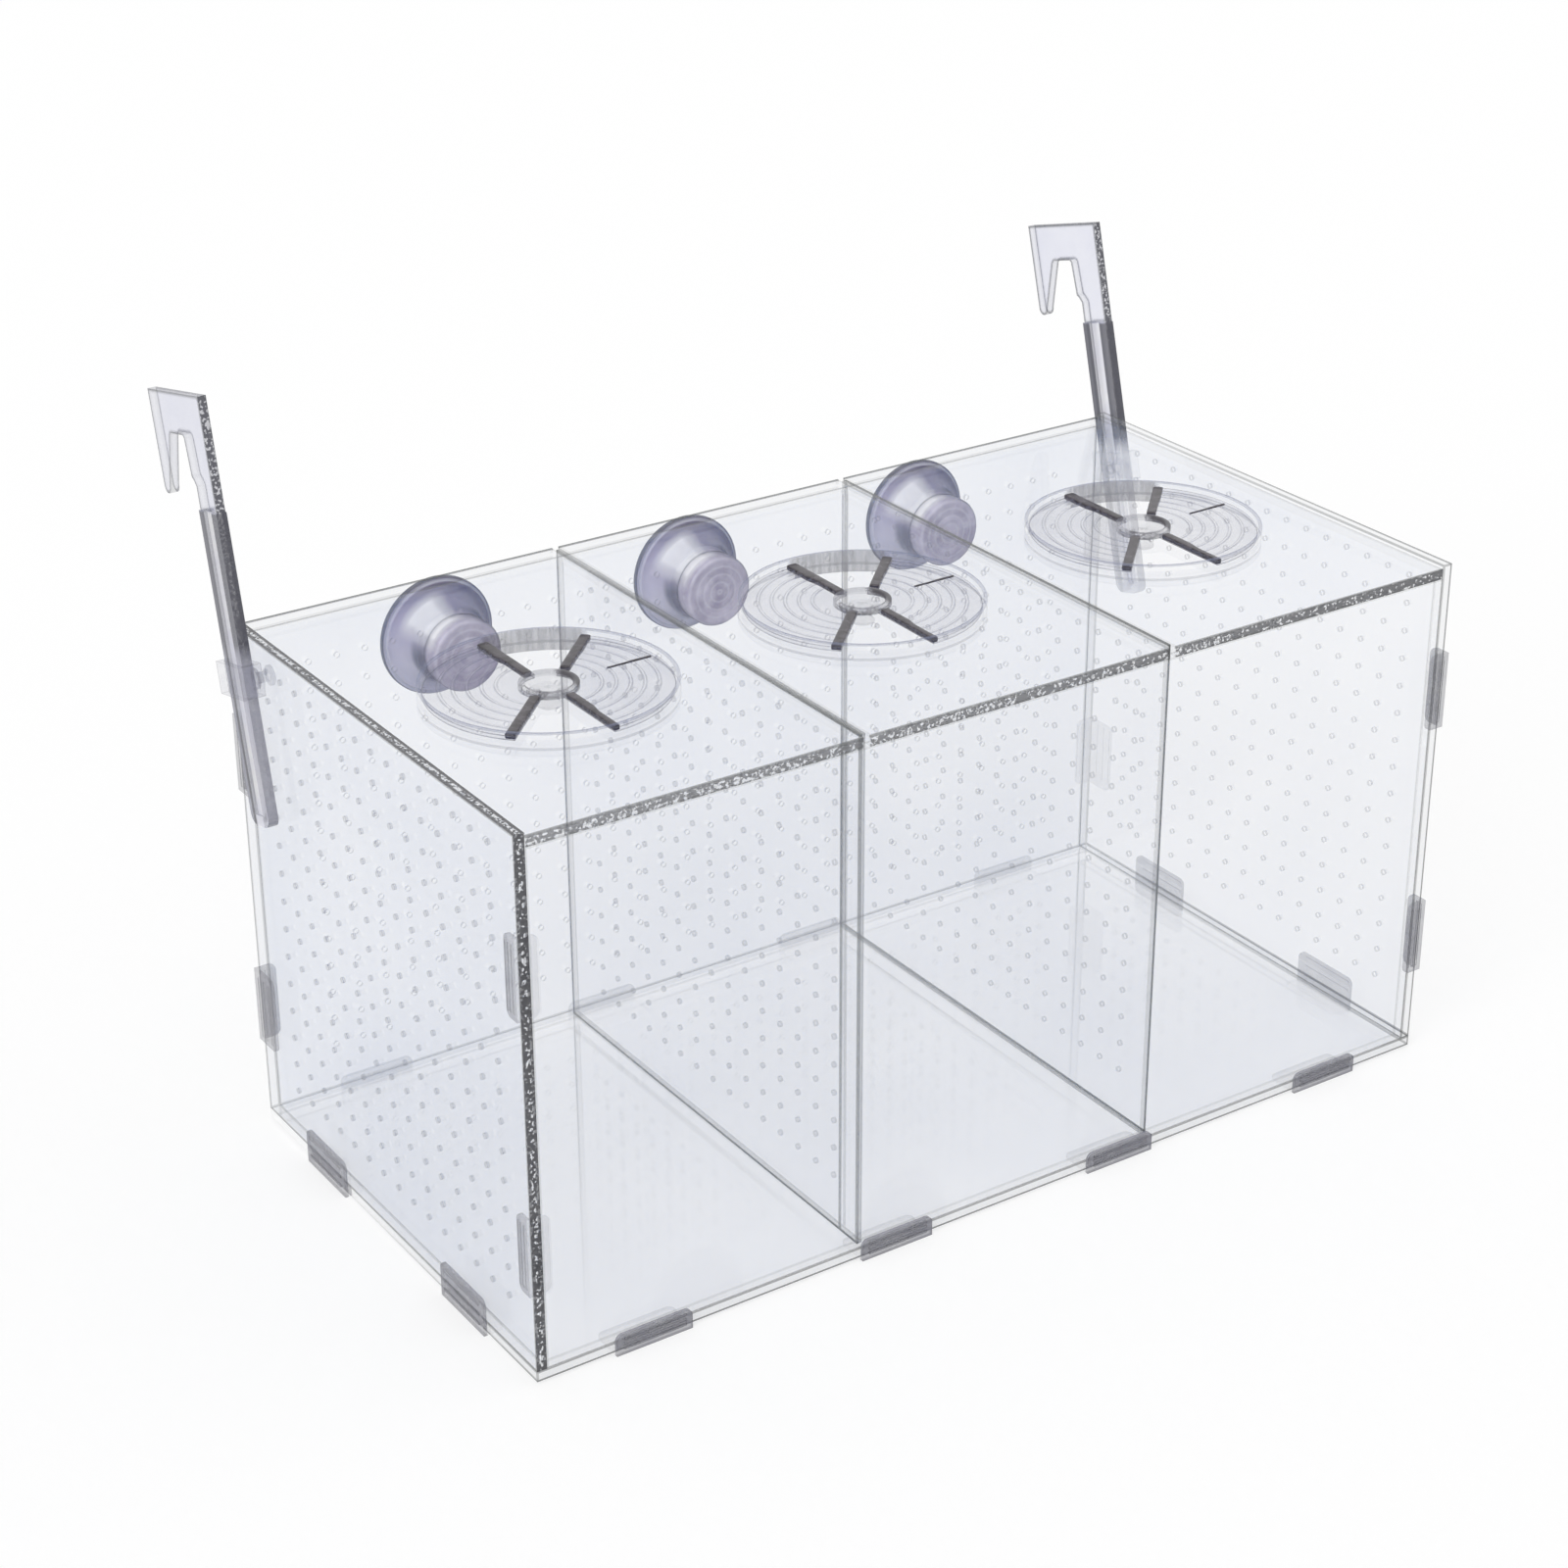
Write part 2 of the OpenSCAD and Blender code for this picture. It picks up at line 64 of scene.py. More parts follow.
class Shader:
    """Node tree of one material. add makes a node and links or sets its inputs, and the
    other calls build on it and give back an output."""

    def __init__(self, name):
        self.material = bpy.data.materials.new(name)
        self.material.use_nodes = True
        self.tree = self.material.node_tree
        self.tree.nodes.clear()
        self.object_space = self.add("ShaderNodeTexCoord")

    def add(self, kind, inputs=None, **settings):
        node = self.tree.nodes.new(kind)
        for key, value in settings.items():
            setattr(node, key, value)
        for key, value in (inputs or {}).items():
            if isinstance(value, bpy.types.NodeSocket):
                self.tree.links.new(value, node.inputs[key])
            else:
                node.inputs[key].default_value = value
        return node

    def math(self, operation, *values, clamp=False):
        node = self.add("ShaderNodeMath", dict(enumerate(values)), operation=operation)
        node.use_clamp = clamp
        return node.outputs[0]

    def position(self):
        """X, Y and Z of the point, in metres, in the part's frame."""
        xyz = self.add("ShaderNodeSeparateXYZ", {0: self.object_space.outputs["Object"]})
        return [xyz.outputs[i] for i in range(3)]

    def facing_axis(self, axis):
        """1 where the surface is square to an axis, 0 where it runs along it."""
        xyz = self.add("ShaderNodeSeparateXYZ", {0: self.object_space.outputs["Normal"]})
        return self.math("ABSOLUTE", xyz.outputs[axis])

    def noise(self, scale, detail, low=0.0, high=1.0, stretch=None):
        """Soft noise between low and high; scale counts its lumps to a metre."""
        place = self.object_space.outputs["Object"]
        if stretch:
            place = self.add("ShaderNodeMapping", {0: place, "Scale": stretch}).outputs[0]
        noise = self.add("ShaderNodeTexNoise", {"Vector": place, "Scale": scale, "Detail": detail})
        return self.ramp(noise.outputs[0], 0.3, 0.7, low, high)

    def ramp(self, value, from_low, from_high, to_low=0.0, to_high=1.0):
        """Straight ramp between two values, flat past its ends."""
        node = self.add("ShaderNodeMapRange", {
            "Value": value, "From Min": from_low, "From Max": from_high,
            "To Min": to_low, "To Max": to_high})
        return node.outputs[0]

    def blend(self, share, low, high):
        """Colour that goes from low to high as share goes from 0 to 1."""
        node = self.add("ShaderNodeMix", {0: share}, data_type="RGBA")
        for socket, value in ((node.inputs[6], low), (node.inputs[7], high)):
            if isinstance(value, bpy.types.NodeSocket):
                self.tree.links.new(value, socket)
            else:
                socket.default_value = (*value, 1.0)
        return node.outputs[2]

    def blend_value(self, share, low, high):
        """Number that goes from low to high as share goes from 0 to 1."""
        node = self.add("ShaderNodeMix", {0: share}, data_type="FLOAT")
        for socket, value in ((node.inputs[2], low), (node.inputs[3], high)):
            if isinstance(value, bpy.types.NodeSocket):
                self.tree.links.new(value, socket)
            else:
                socket.default_value = value
        return node.outputs[0]

    def flecks(self, scale, low, high):
        """Sharp-edged flecks: 1 where fine noise is under low, falling to 0 at high."""
        return self.ramp(self.noise(scale, 1.0), low, high, 1.0, 0.0)

    def arris(self, width):
        """1 within a width of any edge of the piece, where a rounded normal turns away from
        the flat one: all at a cosine of 0.96 between the two, and nothing at 0.998."""
        bevel = self.add("ShaderNodeBevel", {"Radius": width}, samples=6).outputs[0]
        flat = self.add("ShaderNodeNewGeometry").outputs["Normal"]
        turn = self.add("ShaderNodeVectorMath", {0: bevel, 1: flat}, operation="DOT_PRODUCT")
        return self.ramp(turn.outputs["Value"], 0.96, 0.998, 1.0, 0.0)

    def finish(self, gloss, mirror_roughness=0.03, mirror=(1.0, 1.0, 1.0), power=5.0,
               polish=None, **principled):
        """Principled body under a mirror coat. The coat's share is Schlick's, four per cent
        face on and all of it at a glance, times gloss. A coat darker than white gives dark
        outlines. polish scales the share from place to place."""
        face_on = 0.04
        body = self.add("ShaderNodeBsdfPrincipled",
                        {key.replace("_", " "): value for key, value in principled.items()})
        body.inputs["Specular IOR Level"].default_value = 0.3
        facing = self.add("ShaderNodeLayerWeight", {"Blend": 0.5}).outputs["Facing"]
        share = self.math("MULTIPLY_ADD", self.math("POWER", facing, power),
                          (1 - face_on) * gloss, face_on * gloss)
        if polish:
            share = self.math("MULTIPLY", share, polish, clamp=True)
        coat = self.add("ShaderNodeBsdfGlossy",
                        {"Roughness": mirror_roughness, "Color": (*mirror, 1.0)})
        mixed = self.add("ShaderNodeMixShader",
                         {0: share, 1: body.outputs[0], 2: coat.outputs[0]})
        self.add("ShaderNodeOutputMaterial", {"Surface": mixed.outputs[0]})
        return self.material


def side_gaps(shader, low, high):
    """Distances of the point from the nearer of a box's two sides, along X, Y and Z."""
    gaps = []
    for place, a, b in zip(shader.position(), low, high):
        off = shader.math("ABSOLUTE", shader.math("SUBTRACT", place, (a + b) / 2))
        gaps.append(shader.math("SUBTRACT", (b - a) / 2, off))
    return gaps


def arris_lines(shader, gaps, along, width):
    """Strength of the lines along a box's arrises. An arris along one axis is where the two
    other distances are both small; along gives the strengths of those along X, Y and Z.
    A line fades out between its width and 1.6 times that."""
    total = 0.0
    for axis, strength in enumerate(along):
        others = [gap for i, gap in enumerate(gaps) if i != axis]
        line = shader.ramp(shader.math("MAXIMUM", *others), width, width * 1.6, strength, 0.0)
        total = shader.math("MAXIMUM", line, total)
    return total


film_blue = (0.0, 0.15, 0.50)
cut_grey = (0.50, 0.52, 0.55)
arris_shade_grey = (0.13, 0.14, 0.14)
bore_shade_grey = (0.09, 0.10, 0.16)
fleck_shade_grey = (0.05, 0.05, 0.058)
half_w = 0.15                 # the tank's middle to the side panels' outer faces
half_d = 0.077                # and to the front and back panels' outer faces
inner_half_d = 0.074
mouth_depth = 0.0008          # frosted length of a bored hole
rim_depth = 0.001             # a cut edge is what lies this near a side of the sheet's box


def clear_sheet(name, node, thin, film, along, far=0.4, inner=1.0, width=0.0004, gloss=0.3,
                upright=None, dark_flecks=None):
    """Clear sheet, thin along one axis: a blue film that hides only the share film of what
    is behind each face, and a grey line of painted shade along each arris, for the light the
    edges bend, width wide, in the strengths that along gives for lines along X, Y and Z. The
    lines fade to the share far at the tank's back, and to the share inner on the face that is
    nearer the tank's middle. The walls of bored holes are painted dark as shade, most in a
    frosted mouth on one side, where the laser went in. upright adds a painted line at that
    distance behind the front edge, and dark_flecks(s, place, low, high) the dark flecks, partly
    painted shade, of the rough edges. A gloss over 1 is a mirror that wears off towards the
    front."""
    s = Shader(name)
    low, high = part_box(node)
    place = s.position()
    gaps = side_gaps(s, low, high)
    side = s.ramp(s.facing_axis(thin), 0.45, 0.55, 1.0, 0.0)
    in_plane = s.math("MINIMUM", *[gap for i, gap in enumerate(gaps) if i != thin])
    rim = s.ramp(in_plane, rim_depth - 0.0002, rim_depth + 0.0002, 1.0, 0.0)
    # painted shade: the walls of bored holes are drawn dark grey, densest in the frosted mouth
    bore = s.math("MULTIPLY", side, s.math("SUBTRACT", 1.0, rim))
    mouth = s.ramp(s.math("SUBTRACT", place[thin], low[thin]),
                   mouth_depth - 0.0001, mouth_depth + 0.0001, 0.26, 0.015)
    # painted shade: grey lines along the arrises, for the light the cut edges bend
    lines = arris_lines(s, gaps, along, width)
    if upright:
        off = s.math("ABSOLUTE", s.math("SUBTRACT", place[1], low[1] + upright))
        lines = s.math("MAXIMUM", lines, s.ramp(off, width * 0.8, width * 1.3, 0.6, 0.0))
    lines = s.math("MULTIPLY", lines, s.ramp(place[1], -inner_half_d, inner_half_d, 1.0, far))
    middle = abs(low[thin] + high[thin]) / 2
    outer = s.ramp(s.math("ABSOLUTE", place[thin]), middle - 0.0002, middle + 0.0002, inner, 1.0)
    lines = s.math("MULTIPLY", lines, outer)
    cloud = s.noise(18.0, 2.0, 0.8, 1.2)
    colour = s.blend(s.ramp(lines, 0.0, 0.15), s.blend(side, film_blue, cut_grey), arris_shade_grey)
    colour = s.blend(bore, colour, bore_shade_grey)
    alpha = s.blend_value(side, s.math("MULTIPLY", cloud, film), 0.10)
    alpha = s.blend_value(bore, alpha, mouth)
    alpha = s.math("MAXIMUM", alpha, lines)
    if dark_flecks:
        # painted shade: dark flecks in the rough edges, over the rough texture
        dark = s.math("MULTIPLY", dark_flecks(s, place, low, high), rim)
        colour = s.blend(dark, colour, fleck_shade_grey)
        alpha = s.math("MAXIMUM", alpha, s.math("MULTIPLY", dark, 0.94))
    polish = s.ramp(place[1], -0.06, 0.05, 0.1, 1.0) if gloss > 1.0 else None
    return s.finish(gloss, polish=polish, Base_Color=colour, Alpha=alpha,
                    Roughness=s.noise(90.0, 3.0, 0.05, 0.12))


def dress(node, material):
    """Gives a CAD node its finish."""
    piece = nodes[node]
    piece.data.materials.clear()
    piece.data.materials.append(material)


dress("floor_panel",
      clear_sheet("floor_acrylic", "floor_panel", 2, film=0.045, along=(0.65, 0.5, 0.5),
                  gloss=5.0))

# ---- Side panels ----
# Full-depth walls of the same sheet with a grid of fine water holes. They are bonded on top
# of the floor, and their sawn front and top edges are rough and flecked, the flecks painted
# dark as shade.

face_skin = 0.0001            # what lies this near a side of a box is on that face
outline_w = 0.0008            # width of the painted dark line of shade along a sawn edge's arrises


def sawn_edges(s, place, low, high):
    """Dark flecks of painted shade in the left panel's rough edges: dense on its front edge,
    looser along its top, and both outlined by a painted dark line along their arrises."""
    front = s.ramp(place[1], low[1] + face_skin / 2, low[1] + face_skin, 1.0, 0.0)
    top = s.ramp(place[2], high[2] - face_skin, high[2] - face_skin / 2)
    near_arris = s.math("MINIMUM", *[s.math("ABSOLUTE", s.math("SUBTRACT", place[0], x))
                                     for x in (low[0], high[0])])
    outline = s.ramp(near_arris, outline_w, outline_w + 0.0003, 1.0, 0.0)
    on_front = s.math("MAXIMUM", s.flecks(1100.0, 0.62, 0.8), s.math("MULTIPLY", outline, 0.8))
    on_top = s.math("MAXIMUM", s.flecks(1300.0, 0.45, 0.68), s.math("MULTIPLY", outline, 0.97))
    return s.math("MAXIMUM", s.math("MULTIPLY", front, on_front),
                  s.math("MULTIPLY", top, on_top))


dress("left_panel",
      clear_sheet("left_acrylic", "left_panel", 0, film=0.066, along=(0.4, 0.45, 0.5), far=0.8,
                  dark_flecks=sawn_edges))
dress("right_panel",
      clear_sheet("right_acrylic", "right_panel", 0, film=0.03, along=(0.5, 0.55, 0.5), far=0.7))

# ---- Front and back panels ----
# Clear walls of the same 3 mm sheet, bonded between the side panels. The back one is bored
# for water and for the necks of the three suction cups, and both carry grooves for the
# dividers.

for node, along, inner, film in (("front_panel", (0.2, 0.2, 0.25), 1.0, 0.028),
                                 ("back_panel", (0.3, 0.2, 0.3), 0.1, 0.055)):
    dress(node,
          clear_sheet(node + "_acrylic", node, 1, film, along, far=1.0, inner=inner))

# ---- Dividers ----
# Two sheets of 1.5 mm clear acrylic, bored like the walls. They slide down the grooves of the
# front and back panels and part the tank into three bays.

for node, upright in (("divider_left", 0.008), ("divider_right", None)):
    dress(node,
          clear_sheet(node + "_acrylic", node, 0, film=0.017, along=(0.0, 0.9, 0.65), far=0.7,
                      inner=0.4, width=0.0006, upright=upright))

# ---- Corner clips ----
# Small angles of grey translucent plastic, ribbed for grip, pushed over the tank's edges and
# bonded there. Injection moulded, with a satin skin.

grey_mirror = (0.5, 0.5, 0.55)
front_slack = 0.00003         # either side of the front face, where a clip's leg begins


def clip_plastic(name, strength, front_leg):
    """Grey-lilac plastic with a soft cloud in it and edges painted darker as shade. front_leg
    scales how much the leg on the tank's front face hides, because the thin one there is almost
    clear. The legs under the floor keep 0.15 of their strength."""
    s = Shader(name)
    x, y, _ = s.position()
    cloud = s.noise(160.0, 3.0)
    colour = s.blend(cloud, (0.19, 0.19, 0.225), (0.27, 0.27, 0.325))
    # painted shade: the clip's edges drawn darker
    colour = s.blend(s.math("MULTIPLY", s.arris(0.0005), 0.55), colour, (0.09, 0.09, 0.10))
    alpha = s.ramp(cloud, 0, 1, 0.46 * strength, 0.60 * strength)
    alpha = s.math("MULTIPLY", alpha,
                   s.ramp(y, -half_d - front_slack, -half_d + front_slack, front_leg, 1.0))
    beside = s.math("MAXIMUM", s.math("SUBTRACT", s.math("ABSOLUTE", x), half_w),
                    s.math("SUBTRACT", s.math("ABSOLUTE", y), half_d))
    alpha = s.math("MULTIPLY", alpha, s.ramp(beside, -0.00005, 0.0, 0.15, 1.0))
    return s.finish(gloss=0.3, mirror_roughness=0.3, mirror=grey_mirror, Base_Color=colour,
                    Alpha=alpha, Roughness=s.noise(300.0, 3.0, 0.25, 0.4))


for group, strength, front_leg in (
        ("bottom_front", 1.1, 1.0), ("bottom_left", 0.9, 1.0), ("bottom_right", 0.4, 1.0),
        ("bottom_back", 0.2, 1.0), ("front_left", 0.55, 0.04), ("front_right", 0.55, 1.0),
        ("back_left", 0.5, 1.0), ("back_right", 0.1, 1.0)):
    dress("clips_" + group, clip_plastic("clip_plastic_" + group, strength, front_leg))

# ---- Lids ----
# Three sheets of 3 mm clear acrylic that rest on the front and back panels, one to a bay,
# each bored for its feeding port. Their front edges are left rough from the saw.


def front_flecks(s, place, low, high):
    """Dark flecks of painted shade in a lid's rough front edge, thicker towards the right end of
    the tank.
    """
    front = s.ramp(place[1], low[1] + face_skin / 2, low[1] + face_skin, 1.0, 0.0)
    grain = s.noise(1200.0, 1.0)
    share = s.ramp(place[0], -half_w, half_w, 0.55, 0.85)
    dark = s.ramp(s.math("SUBTRACT", grain, share), -0.1, 0.12, 1.0, 0.0)
    return s.math("MULTIPLY", s.math("MULTIPLY", front, dark),
                  s.ramp(place[0], -half_w, half_w, 0.8, 0.95))


for bay, film in (("left", 0.034), ("middle", 0.034), ("right", 0.05)):
    node = "lid_" + bay
    dress(node,
          clear_sheet(node + "_acrylic", node, 2, film, along=(0.7, 0.15, 0.2), far=1.0,
                      inner=0.3, width=0.0005, dark_flecks=front_flecks))

# ---- Feeding ports ----
# Each port is a moulded seat set in the lid and a rippled shutter that turns on a pin in it.
# Thick radial bars edge the shutter's two windows and look almost black, and a fine parting
# line of the mould stands on the disc.

bay_pitch = 0.0985
port_front = -0.0047          # y of the ports' centres
disc_top = 0.1541
disc_foot = disc_top - 0.0012
disc_r = 0.03275
collar_r = 0.033              # the collar's inner wall
collar_top = 0.1556
collar_foot = 0.1495          # the collar's lower end, under the lid
window_r = 0.009              # inner radius of the windows
disc_in_r = window_r - 0.0016    # the disc runs in under the hub's ring
ripple_start = window_r + 0.0047
ripple_pitch = 0.0037
ripple_up = 0.00028
ripple_w = 0.0005
round_r = 0.0003              # rounding of the disc's edge
hub_ring_r = 0.0062           # inner radius of the hub's raised ring
bar_up = 0.0004               # how far the bars stand over the disc
seam_span = (0.0175, 0.031)   # radii where the parting line starts and ends


def round_place(s, centre):
    """Distance from an upright axis, cosine and sine of the angle about it, and height."""
    x, y, z = s.position()
    dx = s.math("SUBTRACT", x, centre[0])
    dy = s.math("SUBTRACT", y, centre[1])
    r = s.math("SQRT", s.math("ADD", s.math("MULTIPLY", dx, dx), s.math("MULTIPLY", dy, dy)))
    return r, s.math("DIVIDE", dx, r), s.math("DIVIDE", dy, r), z


def toward(s, cosine, sine, angle, low, high):
    """1 round an angle in degrees, falling to 0; low and high are cosines off the angle."""
    a = math.radians(angle)
    lean = s.math("ADD", s.math("MULTIPLY", cosine, math.cos(a)),
                  s.math("MULTIPLY", sine, math.sin(a)))
    return s.ramp(lean, low, high)


def seat_plastic(name, centre):
    """Clear plastic, all but unseen, with a grey line of painted shade round the collar's top
    and foot. Beyond one window the collar's wall is cloudy and streaked with a grey band of
    painted shade."""
    s = Shader(name)
    r, cosine, sine, z = round_place(s, centre)
    # painted shade: grey lines round the collar's top and foot
    top = s.ramp(z, collar_top - 0.00045, collar_top - 0.0003)
    on_collar = s.ramp(r, collar_r - 0.0002, collar_r - 0.0001)
    foot = s.math("MULTIPLY", on_collar, s.ramp(z, collar_foot, collar_foot + 0.0001, 1.0, 0.0))
    lines = s.math("MAXIMUM", s.math("MULTIPLY", top, 0.34), s.math("MULTIPLY", foot, 0.04))
    # painted shade: a streaked grey band on the collar's wall beyond one window
    painted_wall_shade = s.math("MULTIPLY", on_collar, toward(s, cosine, sine, 68, 0.89, 0.92))
    painted_wall_shade = s.math("MULTIPLY", painted_wall_shade, s.ramp(r, collar_r + 0.0001, collar_r + 0.0002, 1.0, 0.0))
    streak = s.noise(900.0, 2.0, 0.42, 0.62, stretch=(1.0, 1.0, 0.12))
    colour = s.blend(s.math("MAXIMUM", lines, painted_wall_shade), (0.18, 0.22, 0.40), (0.17, 0.17, 0.20))
    alpha = s.math("MAXIMUM", s.math("MULTIPLY", painted_wall_shade, streak), lines)
    alpha = s.math("MAXIMUM", alpha, s.noise(60.0, 2.0, 0.005, 0.03))
    return s.finish(gloss=0.12, power=6.0, mirror=(0.35, 0.35, 0.42), Base_Color=colour,
                    Alpha=alpha, Roughness=0.08)


def disc_plastic(name):
    """Pale lilac film with a grey line of painted shade on each side slope of every ripple,
    where the surface leans off the level."""
    s = Shader(name)
    level = s.facing_axis(2)
    # painted shade: grey where the ripples slope off the level
    painted_flank_shade = s.math("MULTIPLY", s.ramp(level, 0.9, 0.985, 1.0, 0.0), s.ramp(level, 0.3, 0.6))
    colour = s.blend(painted_flank_shade, (0.13, 0.16, 0.34), (0.16, 0.165, 0.20))
    alpha = s.blend_value(painted_flank_shade, s.noise(70.0, 3.0, 0.05, 0.10), s.noise(120.0, 3.0, 0.35, 0.7))
    return s.finish(gloss=0.4, mirror=grey_mirror, Base_Color=colour, Alpha=alpha,
                    Roughness=0.08)


def hub_plastic(name, centre):
    """Clear ring, almost black on its right side, where the wall bends the light away."""
    s = Shader(name)
    r, cosine, sine, z = round_place(s, centre)
    wall = s.math("MULTIPLY", s.ramp(r, hub_ring_r - 0.0001, hub_ring_r + 0.0001),
                  s.ramp(z, disc_foot, disc_foot + 0.0001))
    dark = s.math("MULTIPLY", wall, toward(s, cosine, sine, -10, 0.35, 0.8))
    blot = s.math("MULTIPLY", toward(s, cosine, sine, 205, 0.55, 0.9), s.flecks(700.0, 0.3, 0.6))
    dark = s.math("MAXIMUM", dark, s.math("MULTIPLY", wall, s.math("MULTIPLY", blot, 0.8)))
    colour = s.blend(dark, (0.24, 0.24, 0.29), (0.07, 0.065, 0.075))
    alpha = s.blend_value(wall, 0.09, 0.24)
    alpha = s.math("MAXIMUM", alpha, s.math("MULTIPLY", dark, 0.85))
    return s.finish(gloss=0.6, mirror=(0.6, 0.6, 0.62), Base_Color=colour, Alpha=alpha,
                    Roughness=0.1)


def dark_bar(name):
    """Thick clear wall that traps light: brown-black, with paler streaks along it."""
    s = Shader(name)
    colour = s.blend(s.noise(520.0, 3.0), (0.02, 0.016, 0.02), (0.085, 0.075, 0.09))
    return s.finish(gloss=0.3, Base_Color=colour, Alpha=s.noise(300.0, 2.0, 0.95, 1.0),
                    Roughness=0.25)


def solid(name, points, faces, smooth=True):
    """Closed mesh object from an array of points and lists of faces, turned outward."""
    mesh = bpy.data.meshes.new(name)
    mesh.from_pydata(points.tolist(), [], [list(map(int, f)) for f in faces])
    work = bmesh.new()
    work.from_mesh(mesh)
    bmesh.ops.recalc_face_normals(work, faces=work.faces)
    work.to_mesh(mesh)
    work.free()
    mesh.polygons.foreach_set("use_smooth", np.full(len(mesh.polygons), smooth))
    mesh.update()
    piece = bpy.data.objects.new(name, mesh)
    bpy.context.scene.collection.objects.link(piece)
    return piece


def finish_piece(piece, material, body):
    """Gives a new piece its material and its body."""
    piece.data.materials.append(material)
    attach(piece, body)


def lathe(profile, steps):
    """Points and faces of a surface of revolution: a point at radius r and height h goes to
    (r cos a, r sin a, h) at every angle a; the first and last points are poles on the axis."""
    angle = np.arange(steps) * 2 * np.pi / steps
    ring = profile[1:-1]
    round_points = np.stack([ring[:, :1] * np.cos(angle), ring[:, :1] * np.sin(angle),
                             np.repeat(ring[:, 1:], steps, axis=1)], axis=-1).reshape(-1, 3)
    points = np.vstack([round_points, [[0, 0, profile[0, 1]], [0, 0, profile[-1, 1]]]])
    i, j = np.meshgrid(np.arange(len(ring) - 1), np.arange(steps), indexing="ij")
    k = (j + 1) % steps
    quads = np.stack([i * steps + j, i * steps + k, (i + 1) * steps + k, (i + 1) * steps + j],
                     axis=-1)
    first, last = len(round_points), len(round_points) + 1
    turn = np.arange(steps)
    start = np.stack([np.full(steps, first), (turn + 1) % steps, turn], axis=-1)
    foot = (len(ring) - 1) * steps
    end = np.stack([np.full(steps, last), foot + turn, foot + (turn + 1) % steps], axis=-1)
    return points, list(quads.reshape(-1, 4)) + list(start) + list(end)


def sector_disc(first, last, steps=72, rings=150):
    """Sector of the shutter's disc between two angles. Its top is rippled: at radius r it
    rises by the sum of narrow bell curves round five radii. The underside is flat, and the
    top's outer edge is a quarter round of 0.3 mm."""
    radius = np.linspace(disc_in_r, disc_r, rings)
    centres = ripple_start + ripple_pitch * np.arange(5)
    ripple = ripple_up * np.exp(-((radius[:, None] - centres) / ripple_w) ** 2).sum(axis=1)
    edge = np.clip((disc_r - radius) / round_r, 0, 1)
    top = disc_top + ripple - round_r * (1 - np.sqrt(1 - (1 - edge) ** 2))
    angle = np.radians(np.linspace(first, last, steps))
    loop_r = np.concatenate([radius, radius[::-1]])
    loop_z = np.concatenate([top, np.full(rings, disc_foot)])
    count = 2 * rings
    points = np.stack([loop_r * np.cos(angle)[:, None], loop_r * np.sin(angle)[:, None],
                       np.broadcast_to(loop_z, (steps, count))], axis=-1).reshape(-1, 3)
    i, j = np.meshgrid(np.arange(steps - 1), np.arange(count), indexing="ij")
    k = (j + 1) % count
    skin = np.stack([i * count + j, i * count + k, (i + 1) * count + k, (i + 1) * count + j],
                    axis=-1)
    m = np.arange(rings - 1)
    cap = np.stack([m, m + 1, count - 2 - m, count - 1 - m], axis=-1)
    return points, list(skin.reshape(-1, 4)) + list(cap) + list(cap[:, ::-1] + (steps - 1) * count)


def radial_bar(angle, side, start, end, low, high, widths):
    """Bar along a radius with one face on it. Across, it is a rounded rectangle, drawn as a
    superellipse of power 6. Its width goes smoothly from the first to the second of widths
    over the middle fifth of its length, and its ends shrink by the sine of a quarter turn
    over half a millimetre."""
    rounding, stations = 0.0005, 30
    turn = np.linspace(0, 2 * np.pi, 28, endpoint=False)
    loop_w = np.sign(np.cos(turn)) * np.abs(np.cos(turn)) ** (1 / 3)
    loop_h = np.sign(np.sin(turn)) * np.abs(np.sin(turn)) ** (1 / 3)
    step = np.linspace(0, np.pi / 2, 6)
    middle = np.linspace(start + 2 * rounding, end - 2 * rounding, stations)
    along = np.concatenate([start + rounding * (1 - np.cos(step)), middle,
                            end - rounding * (1 - np.cos(step[::-1]))])
    size = np.concatenate([0.7 + 0.3 * np.sin(step), np.ones(stations),
                           0.7 + 0.3 * np.sin(step[::-1])])
    share = np.clip(((along - start) / (end - start) - 0.4) / 0.2, 0, 1)
    width = (widths[0] + (widths[1] - widths[0]) * share * share * (3 - 2 * share))[:, None]
    across = side * width / 2 + width / 2 * loop_w * size[:, None]
    height = (low + high) / 2 + (high - low) / 2 * loop_h * size[:, None]
    a = np.radians(angle)
    points = np.stack([along[:, None] * np.cos(a) - across * np.sin(a),
                       along[:, None] * np.sin(a) + across * np.cos(a), height], axis=-1)
    n = len(turn)
    i, j = np.meshgrid(np.arange(len(along) - 1), np.arange(n), indexing="ij")
    k = (j + 1) % n
    skin = np.stack([i * n + j, i * n + k, (i + 1) * n + k, (i + 1) * n + j], axis=-1)
    ends = [np.arange(n), np.arange(n)[::-1] + (len(along) - 1) * n]
    return points.reshape(-1, 3), list(skin.reshape(-1, 4)) + ends


# Hub and pin as [radius, height over the disc] in millimetres, from the snap head's foot up
# and round to the middle of the hub's top.
hub_profile = np.array([
    [0, -6.05], [3.1, -6.05], [3.4, -5.85], [3.4, -5.3], [3.1, -5.05], [2.5, -5.05],
    [2.5, -1.2], [7.7, -1.2], [8.0, -1.0], [8.0, 0.55], [7.9, 0.8], [7.65, 0.9], [6.8, 0.9],
    [6.5, 0.78], [6.4, 0.5], [6.35, 0.15], [6.2, 0.03], [5.6, 0.0], [1.5, 0.0],
    [1.2, -0.15], [0, -0.2]]) / 1000 + [0, disc_top]
